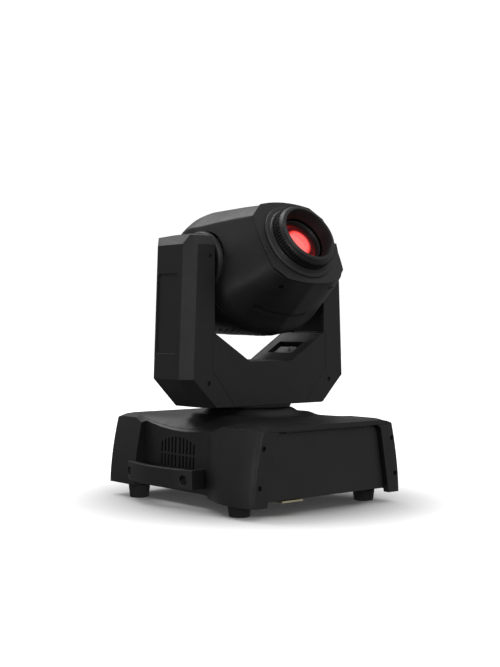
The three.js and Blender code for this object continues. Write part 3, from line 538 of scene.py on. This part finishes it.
def handle_recess(grow):
    """The hollow beside the left handle, flaring out to the bulge, grown for its inner face."""
    rings = []
    for z in (-12, 120):
        wall = RECESS["wall_x"] - RECESS["taper"] * (z - 40) - grow
        ring = [(-125, RECESS["rear_y"] + grow, z), (-wall, RECESS["rear_y"] + grow, z)]
        for i in range(33):
            t = i / 32
            x = mix(wall, RECESS["flare_x"], smooth(t))
            ring.append((-x, mix(RECESS["front_y"], RECESS["flare_end_y"], t), z))
        rings.append(ring + [(-125, RECESS["flare_end_y"], z)])
    return loft(rings)


def vent_tools():
    """Two rows of slots under a round arch, through the wall beside the left handle."""
    pitch = 2 * VENT["half_width"] / VENT["slots"]
    half = VENT["slot_width"] / 2
    tools = []
    for i in range(VENT["slots"]):
        offset = (i - (VENT["slots"] - 1) / 2) * pitch
        middle = offset + math.copysign(0.8, offset)
        y = VENT["y"] + middle
        rise = math.sqrt(max(0, 1 - (middle / (VENT["half_width"] + 4)) ** 2))
        top = mix(VENT["split"] + 4, VENT["top"], rise)
        for low, high in ((VENT["split"] + 1, top), (VENT["bottom"], VENT["split"] - 1)):
            tools.append(box(-RECESS["wall_x"] - 4, -RECESS["wall_x"] + 8, y - half, y + half, low, high))
    return combine(tools)


def panel_outline(grow, drop):
    """The front panel seen from the front, grown all round and run on downwards."""
    r = PANEL["corner"]
    slope = (PANEL["bottom_half"] - PANEL["top_half"]) / (PANEL["top"] - PANEL["bottom"])
    right = [(PANEL["bottom_half"] + grow + slope * drop, PANEL["bottom"] - drop)]
    for i in range(13):
        a = math.radians(10 + 80 * i / 12)
        x = PANEL["top_half"] + grow - r + r * math.cos(a)
        right.append((x, PANEL["top"] + grow - r + r * math.sin(a)))
    return right + [(-x, z) for x, z in reversed(right)]


SIDE_SCREWS = [(89.8, 70.8), (95.2, 32.6)]


def base_skin():
    """The base's whole outer wall, before it is shared out between the shells."""
    recess, inner_recess = handle_recess(0), handle_recess(WALL)
    outer = meet(base_envelope(0, BASE["bottom"]), below_top(0))
    outer = cut(outer, mirrored(recess), recess)
    inner = meet(base_envelope(WALL, -11), below_top(WALL))
    inner = cut(inner, mirrored(inner_recess), inner_recess)
    return cut(outer, inner)


def base_shells():
    front = (-130, -BASE["half_length"] + WALL + GAP)
    rear = (BASE["half_length"] - WALL - GAP, 130)
    band = BASE["band_bottom"]
    seam = BASE["seam_x"]
    strip_x = BASE["strip_x"]
    face = -BASE["half_length"]
    skin = base_skin()
    cover = meet(copy_of(skin), box(-seam, seam, -130, 130, 70, 112))
    cover = cut(cover, box(-90, 90, *front, 0, band), box(-90, 90, *rear, 0, band),
                rod("z", HUMP["bore_radius"], 60, 112))
    back = face + PANEL["recess"] + WALL
    lip_x = PANEL["top_half"] - PANEL["corner"] - GAP
    lip_z = (PANEL["top"] + GAP, band + 1)
    lip = join(box(-lip_x, lip_x, front[1], back, *lip_z),
               box(-strip_x + GAP, strip_x - GAP, face + 1, back, *lip_z))
    place(join(cover, lip), "base_top_cover_fine", "base_top_cover")

    hole = prism("y", panel_outline(PANEL["groove"], 20), -132, -120)
    strip = cut(box(-90, -strip_x, *front, 0, band - GAP), copy_of(hole))
    reveal = prism("y", panel_outline(PANEL["groove"] + WALL, 20), face + 1, back)
    reveal = cut(reveal, copy_of(hole))
    reveal_end = PANEL["corner"] - PANEL["top_half"]
    reveal = meet(reveal, box(-112, reveal_end, -130, -110, BASE["bottom"], PANEL["top"]))
    side_box = cut(box(-112, -seam - GAP, -130, 130, 0, 112), hole)
    screws = [rod("y", 2.6, -130, -122, (-x, 0, z), 32) for x, z in SIDE_SCREWS]
    sill = box(-112, -strip_x, -40, 130, 0, BASE["rear_bottom"])
    shell = join(meet(skin, join(side_box, strip)), reveal)
    side = cut(shell, sill, vent_tools(), *screws)
    place(mirrored(side), "right_side_shell_fine", "right_side_shell")
    place(side, "left_side_shell_fine", "left_side_shell")
    for side_name, sx in (("left", -1), ("right", 1)):
        for i, (x, z) in enumerate(SIDE_SCREWS):
            at = (sx * x, face + 1.6, z)
            screw(f"{side_name}_strip_screw_{i + 1}", "base", at, (0, -1, 0), 2.2)


def handle_screws():
    for side_name, sx in (("left", -1), ("right", 1)):
        for end, y in (("front", -22), ("rear", 79)):
            bow = HANDLE["sagitta"] * ((y - HANDLE["centre_y"]) / HANDLE["half_length"]) ** 2
            x = HANDLE["outer_x"] - bow - HANDLE["screw_depth"] + 0.5
            screw(f"{side_name}_handle_{end}_screw", "base", (sx * x, y, 31), (sx, 0, 0), 3.4)


def feet():
    """Tapered rubber feet with a rounded lower lip and a sunk screw well underneath."""
    top, low = FOOT["top"], FOOT["bottom"]
    for end, sy in (("front", -1), ("rear", 1)):
        height = FOOT[f"{end}_height"]
        profile = [(0, 2.4), (3.6, 2.4), (3.6, 0), (low - 0.9, 0), (low - 0.25, 0.3), (low, 0.95),
                   (top, height - 0.9), (top - 0.3, height - 0.25), (top - 0.9, height),
                   (FOOT["stem"], height), (FOOT["stem"], FOOT["stem_top"]), (0, FOOT["stem_top"])]
        for side_name, sx in (("left", -1), ("right", 1)):
            node = f"{end}_{side_name}_foot"
            place(turned("z", profile, (sx * FOOT["x"], sy * FOOT["y"], 0)), f"{node}_fine", node)


def base_fittings():
    refine("front_panel", 0.9, 4)
    refine("rear_panel", 0.5)
    refine("base_tray", 0.4)
    refine("latch_plate", 0.3)
    refine("power_inlet", 0.5)
    refine("display_window", 0.4)
    refine("power_switch", 0.8)
    for i in range(4):
        refine(f"menu_button_{i + 1}", 0.5)
    for side_name in ("left", "right"):
        refine(f"{side_name}_handle", 1.6, 5)
    back = BASE["half_length"]
    profile = [(0, back - 20), (11.7, back - 20), (11.7, back - 0.4), (11.3, back), (9.9, back),
               (9.4, back - 0.5), (9.4, back - 12), (0, back - 12)]
    for name, x in (("data_in_socket", -18), ("data_out_socket", 14)):
        place(turned("y", profile, (x, 0, 41)), f"{name}_fine", name)
        for k in range(3):
            a = math.radians(90 + 120 * k)
            at = (x + 4.2 * math.cos(a), 0, 41 + 4.2 * math.sin(a))
            pin = rod("y", 1.1, back - 12.5, back - 5, at, 24)
            place(pin, f"{name}_contact_{k + 1}", body="base", slot="steel")


# ---- Yoke -------------------------------------------------------------------------------------
ARM_SCREWS = [(84.2, 263.4), (85.5, 131)]
COVER_SLITS = [(-69.7, 165.7), (-0.6, 143.1), (-28.8, 113.8), (26.9, 118.2), (67.4, 163.8)]


def yoke():
    depth = YOKE["half_depth"]
    for side_name, sx in (("left", -1), ("right", 1)):
        refine(f"{side_name}_arm_cover", 0.7)
        refine(f"{side_name}_arm_inner_cover", 0.4)
        for i, (x, z) in enumerate(ARM_SCREWS):
            for end, sy in (("front", -1), ("rear", 1)):
                name = f"{side_name}_arm_{end}_screw_{i + 1}"
                screw(name, "yoke", (sx * x, sy * (depth - 0.9), z), (0, sy, 0), 2.0)
    slits = [box(x - 0.25, x + 0.25, -40, -depth + 0.5, z - 2.2, z + 2.2) for x, z in COVER_SLITS]
    refine("yoke_front_cover", 0.35, 2, [combine(slits)])
    refine("yoke_rear_cover", 0.35, 2)
    refine("yoke_saddle", 0.6)
    refine("tilt_lock_slider", 0.6)
    refine("pan_hub", 0.4)


# ---- Head -------------------------------------------------------------------------------------
def station_at(s):
    """The outline's corners at any distance, between the stations."""
    flat = [[v for corner in row[1:-1] for v in corner] + [row[-1]] for row in STATIONS]
    places = [row[0] for row in STATIONS]
    s = min(places[0], max(places[-1], s))
    for i in range(len(places) - 1):
        if s >= places[i + 1]:
            t = (places[i] - s) / (places[i] - places[i + 1])
            return [mix(a, b, t) for a, b in zip(flat[i], flat[i + 1])]
    return flat[-1]


def soft_station(s):
    """The corners with the folds across the head eased over a few millimetres."""
    reach = min(5.0, HEAD_FRONT_S - s, s - HEAD_REAR_S)
    samples = [station_at(s + reach * k / 2) for k in (-2, -1, 0, 1, 2)]
    return [sum(values) / 5 for values in zip(*samples)]


def catmull(points, steps):
    first = (2 * points[0][0] - points[1][0], 2 * points[0][1] - points[1][1])
    last = (2 * points[-1][0] - points[-2][0], 2 * points[-1][1] - points[-2][1])
    line = [first, *points, last]
    curve = []
    for i in range(1, len(line) - 2):
        a, b, c, d = line[i - 1:i + 3]
        for k in range(steps):
            t = k / steps
            curve.append(tuple(
                0.5 * (2 * b[n] + (c[n] - a[n]) * t + (2 * a[n] - 5 * b[n] + 4 * c[n] - d[n]) * t * t
                       + (3 * b[n] - a[n] - 3 * c[n] + d[n]) * t ** 3) for n in (0, 1)))
    return curve + [points[-1]]


def rounded_corner(before, corner, after, reach):
    def towards(target):
        away = Vector(target) - Vector(corner)
        return Vector(corner) + away.normalized() * min(reach, away.length / 2)
    start, end, middle = towards(before), towards(after), Vector(corner)
    return [tuple(start.lerp(middle, t).lerp(middle.lerp(end, t), t)) for t in (0, 0.25, 0.5, 0.75, 1)]


def rim_step(s, z, keel):
    """How far the underside steps in behind the nose's lower rim."""
    along = smooth((33 - s) / 2) * (1 - smooth((20 - s) / 20))
    return 3.4 * along * smooth((keel + 6 - z) / 6)


def head_ring(s, inset, y=None):
    values = soft_station(s)
    top, facet, waist, low, keel = [tuple(values[i:i + 2]) for i in range(0, 10, 2)]
    bottom = values[10]
    side = catmull([facet, waist, low, keel, (0, bottom)], 10)
    crown = (0, top[1] + 1.2)
    right = rounded_corner(crown, top, facet, 3) + rounded_corner(top, facet, side[1], 2) + side[1:]
    middle = (top[1] + bottom) / 2
    scale_x = (waist[0] - inset) / waist[0]
    scale_z = (top[1] - middle - inset) / (top[1] - middle)
    right = [(x, z + rim_step(s, z, keel[1])) for x, z in right]
    outline = [crown, *right, *[(-x, z) for x, z in reversed(right[:-1])]]
    place_y = -s if y is None else y
    return [(x * scale_x, place_y, middle + (z - middle) * scale_z) for x, z in outline]


def head_body(inset, step):
    count = round((HEAD_FRONT_S - HEAD_REAR_S) / step)
    places = [mix(HEAD_FRONT_S, HEAD_REAR_S, i / count) for i in range(count + 1)]
    rings = [head_ring(s, inset) for s in places]
    if inset > 0:
        rings[-1] = head_ring(HEAD_REAR_S, inset, -HEAD_REAR_S - inset)
        rings.insert(0, head_ring(HEAD_FRONT_S, inset, -90))
    return loft(rings)


def slanted_gills():
    """Fine slots behind the lower rim, each leaning across the head."""
    tools = []
    for i in range(22):
        gill = box(-0.5, 0.5, -3.4, 3.4, -95, -62)
        at = Matrix.Translation((-42 + 3.2 * i, -27.5, 0))
        gill.data.transform(at @ Matrix.Rotation(0.75, 4, "Z"))
        tools.append(gill)
    return combine(tools)


def mesh_grille():
    """Staggered round holes through the underside behind the tilt axis."""
    tools = []
    for row in range(7):
        for i in range(14):
            x = -42 + 6 * i + (3 if row % 2 else 0)
            tools.append(rod("z", 2.0, -95, -50, (x, 13 + 5 * row, 0), 12))
    return combine(tools)


def head_shells():
    hub = rod("x", TILT["hub_radius"] + GAP, -90, 90, count=96)
    skin = cut(head_body(0, 2.5), head_body(WALL, 5), hub)
    front = meet(copy_of(skin), box(-90, 90, -95, SPLIT_Y - GAP, -110, 90))
    top_slots = [box(sx * 24 - 5, sx * 24 + 5, -41, -38, 30, 70) for sx in (-1, 1)]
    nose_slot = box(28.6, 30.6, -73, -67.5, -75, -60)
    holes = []
    normal = Vector((0.5, 0, -0.86))
    for sx in (-1, 1):
        hole = rod("z", 2.7, -3, 6, count=32)
        facing = Vector((sx * normal.x, 0, normal.z))
        turn = facing.to_track_quat("Z", "Y").to_matrix().to_4x4()
        hole.data.transform(Matrix.Translation((sx * 35.6, -67.4, -67.4)) @ turn)
        holes.append(hole)
        screw(f"head_{'left' if sx < 0 else 'right'}_screw", "head",
              (sx * 34.9, -67.4, -66.0), facing, 2.3, HEAD_FRAME)
    front = cut(front, slanted_gills(), *top_slots, nose_slot, *holes)
    place(front, "head_front_shell_fine", "head_front_shell", frame_of=HEAD_FRAME)

    louvres = combine([box(-30, 30, 60, 80, -46 + 9 * i, -42 + 9 * i) for i in range(8)])
    rear = meet(skin, box(-90, 90, SPLIT_Y, 90, -110, 90))
    rear = cut(rear, louvres, mesh_grille())
    place(rear, "head_rear_shell_fine", "head_rear_shell", frame_of=HEAD_FRAME)


def flange_outline():
    """Bowed sides with a facet at each corner."""
    def arc(start, bulge, end):
        points = []
        for i in range(17):
            t = i / 16
            swell = 4 * t * (1 - t)
            x = mix(start[0], end[0], t) + bulge[0] * swell
            points.append((x, mix(start[1], end[1], t) + bulge[1] * swell + LENS_V))
        return points
    w, h, cx, cz = 49, 45.7, 35, 32.4
    return (arc((w, cz), (3.3, 0), (w, -cz)) + arc((cx, -h), (0, -4.6), (-cx, -h))
            + arc((-w, -cz), (-3.3, 0), (-w, cz)) + arc((-cx, h), (0, 4.6), (cx, h)))


def lens_front():
    axis = (0, 0, LENS_V)
    plate = cut(prism("y", flange_outline(), -81.3, -79.3), rod("y", 36.5, -100, -70, axis, 96))
    round_edges(place(plate, "lens_flange_fine", "lens_flange", frame_of=HEAD_FRAME), 0.5, 3)

    step = [(32.5, -76), (36, -76), (36, -81.7), (43.8, -81.7), (44.2, -82.1), (43.4, -83.2),
            (42.8, -83.5), (39.6, -83.7), (39.1, -84.1), (38.4, -85.6), (37.9, -86), (32.5, -86)]
    place(turned("y", step, axis, 128), "lens_step_ring_fine", "lens_step_ring", frame_of=HEAD_FRAME)

    profile = [(31.5, -86.4), (35.7, -86.4), (36, -86.7), (36, -88.2), (35.2, -88.4), (35.2, -94.8),
               (35.6, -95.2), (33.9, -97.1), (33.6, -98.2), (33.1, -98.9), (31.8, -99.5), (30.4, -99.8),
               (29.7, -99.6), (29.4, -99.0), (26.2, -86.4)]
    ring = turned("y", profile, axis, 144)
    teeth = []
    for i in range(72):
        tooth = box(-0.75, 0.75, -95, -88.4, 34, 36.8)
        tooth.data.transform(Matrix.Translation(axis) @ Matrix.Rotation(math.radians(5 * i), 4, "Y"))
        teeth.append(tooth)
    ring = join(ring, combine(teeth))
    place(ring, "focus_ring_fine", "focus_ring", frame_of=HEAD_FRAME)

    cell = [(22.6, -80), (24.4, -83.6), (24.8, -84), (25.2, -84), (25.5, -83.7), (25.5, -66), (19, -66),
            (19, -74), (22.6, -74)]
    place(turned("y", cell, axis, 128), "lens_cell_fine", "lens_cell", frame_of=HEAD_FRAME)
    angles = [math.radians(9 * k) for k in range(10)]
    bulge = [(22.2 * math.cos(a), -77 - 4.8 * math.sin(a)) for a in angles]
    lens = turned("y", [(0, -74.3), (22.2, -74.3), *bulge[:-1], (0, -81.8)], axis, 128)
    place(lens, "front_lens_fine", "front_lens", frame_of=HEAD_FRAME)


def tilt_hubs():
    r, shaft, x, p = TILT["hub_radius"], TILT["shaft_radius"], TILT["belt_x"], TILT["pulley_radius"]
    profile = [(9.5, 54.9), (16, 54.9), (16, 66), (r, 66), (r, 70.2), (r - 0.5, 71.4), (r - 2, 72.4),
               (r - 4, 72.4), (r - 5, 71), (r - 8, 71), (r - 10, 74.6), (shaft, 74.6), (shaft, 91.5),
               (9.5, 91.5)]
    right = turned("x", profile, count=128)
    place(mirrored(right), "left_tilt_hub_fine", "left_tilt_hub", frame_of=HEAD_FRAME)
    pulley = turned("x", [(9.5, x - 2.5), (p + 2, x - 2.5), (p + 2, x - 1), (p, x - 1), (p, x + 6),
                          (p + 2, x + 6), (p + 2, x + 7.5), (9.5, x + 7.5)], count=96)
    right = join(right, pulley)
    place(right, "right_tilt_hub_fine", "right_tilt_hub", frame_of=HEAD_FRAME)


# ---- Inner parts ------------------------------------------------------------------------------
def dress_inner_nodes():
    """Gives every CAD node that still shows its finish and small rounded edges."""
    for name, node in frame["nodes"].items():
        node.data.materials.clear()
        node.data.materials.append(MATERIALS[NODE_SLOT[name]])
        if node.hide_render:
            continue
        weld = node.modifiers.new("weld", "WELD")
        weld.merge_threshold = 2e-6
        round_edges(node, 0.3, 2)


# ---- Stage ------------------------------------------------------------------------------------
def stage_piece(name, mesh, material):
    item = bpy.data.objects.new(name, mesh)
    bpy.context.scene.collection.objects.link(item)
    mesh.materials.append(material)
    return item


def floor():
    """A pale floor that lights itself more and more away from the object, so that it has no horizon. Its
    glow is painted light: faint next to the object, as painted shade round it, and full further out, where
    it washes out the real shadows.
    """
    reach = 6.0
    mesh = bpy.data.meshes.new("floor")
    ring = [(x * reach, y * reach, 0) for x, y in circle(1, 64)]
    mesh.from_pydata(ring, [], [tuple(range(64))])
    tree = Tree("pale_floor")
    tree.tint(3, (0.56, 0.56, 0.56), (0.6, 0.6, 0.6))
    tree.set(Roughness=0.9, Specular_IOR_Level=0.0)
    mapping = tree.add("ShaderNodeMapping")
    mapping.inputs["Scale"].default_value = (1 / FLOOR_REACH,) * 3
    tree.link(tree.place, mapping.inputs["Vector"])
    ball = tree.add("ShaderNodeTexGradient", gradient_type="SPHERICAL")
    tree.link(mapping.outputs["Vector"], ball.inputs["Vector"])
    # Painted shade near the object: the glow falls from full far out to FLOOR_GLOW in the middle.
    stops = [(0.0, (1.0,) * 3), (0.35, (0.75,) * 3), (0.66, (FLOOR_GLOW,) * 3)]
    glow = tree.ramp(ball.outputs["Fac"], stops)
    tree.link(glow, tree.shader.inputs["Emission Color"])
    tree.set(Emission_Strength=1.0)
    item = stage_piece("floor", mesh, tree.material)
    item.visible_diffuse = False
    item.visible_glossy = False


def backdrop():
    """A white dome that only the camera sees, so that it doesn't light the object."""
    shape = bmesh.new()
    bmesh.ops.create_uvsphere(shape, u_segments=48, v_segments=24, radius=5.9)
    mesh = bpy.data.meshes.new("backdrop")
    shape.to_mesh(mesh)
    shape.free()
    tree = Tree("white_backdrop")
    tree.set(Base_Color=(0, 0, 0, 1), Emission_Color=(1, 1, 1, 1), Emission_Strength=1.05,
             Specular_IOR_Level=0.0)
    item = stage_piece("backdrop", mesh, tree.material)
    item.visible_diffuse = False
    item.visible_glossy = False
    item.visible_transmission = False
    item.visible_shadow = False


def area_light(name, at, size, power):
    lamp = bpy.data.lights.new(name, "AREA")
    lamp.shape = "DISK"
    lamp.size = size
    lamp.energy = power
    item = bpy.data.objects.new(name, lamp)
    item.location = at
    item.rotation_euler = (Vector((0, 0, 0.15)) - Vector(at)).to_track_quat("-Z", "Y").to_euler()
    bpy.context.scene.collection.objects.link(item)


def studio():
    """Soft light, strongest from above and behind, over a dim surround that brightens upwards."""
    area_light("rear_high_soft", (-0.3, 1.2, 2.0), 1.8, 27)
    area_light("front_high_soft", (-0.2, -1.8, 1.9), 1.4, 15)
    area_light("chamfer_soft", (-1.3, -1.4, 0.4), 0.5, 4)
    area_light("corner_soft", (-1.6, 0.1, 0.12), 0.4, 2)
    world = bpy.data.worlds.new("studio")
    world.use_nodes = True
    bpy.context.scene.world = world
    nodes, links = world.node_tree.nodes, world.node_tree.links
    coordinates = nodes.new("ShaderNodeTexCoord")
    facing = nodes.new("ShaderNodeVectorMath")
    facing.operation = "DOT_PRODUCT"
    facing.inputs[1].default_value = SURROUND["bright_side"]
    links.new(coordinates.outputs["Generated"], facing.inputs[0])
    ramp = nodes.new("ShaderNodeMapRange")
    ramp.inputs["From Min"].default_value = -0.6
    ramp.inputs["From Max"].default_value = 0.9
    ramp.inputs["To Min"].default_value = SURROUND["low"]
    ramp.inputs["To Max"].default_value = SURROUND["high"]
    links.new(facing.outputs["Value"], ramp.inputs["Value"])
    links.new(ramp.outputs["Result"], nodes["Background"].inputs["Strength"])
    nodes["Background"].inputs["Color"].default_value = (1, 1, 1, 1)
    bpy.context.scene.view_settings.view_transform = "Standard"


def camera():
    """The view from the front left, level with the yoke."""
    azimuth, pitch = math.radians(CAMERA["azimuth"]), math.radians(CAMERA["pitch"])
    back = Vector((math.sin(azimuth), -math.cos(azimuth), 0))
    right = Vector((math.cos(azimuth), math.sin(azimuth), 0))
    lens = bpy.data.cameras.new("camera")
    lens.sensor_width = 36
    lens.lens = CAMERA["lens"]
    item = bpy.data.objects.new("camera", lens)
    item.location = back * CAMERA["distance"] + right * CAMERA["sideways"]
    item.location.z += CAMERA["height"]
    forward = -back * math.cos(pitch) + Vector((0, 0, math.sin(pitch)))
    item.rotation_euler = forward.to_track_quat("-Z", "Y").to_euler()
    bpy.context.scene.collection.objects.link(item)
    bpy.context.scene.camera = item


camera()
base_shells()
base_fittings()
handle_screws()
feet()
yoke()
head_shells()
lens_front()
tilt_hubs()
dress_inner_nodes()
floor()
backdrop()
studio()
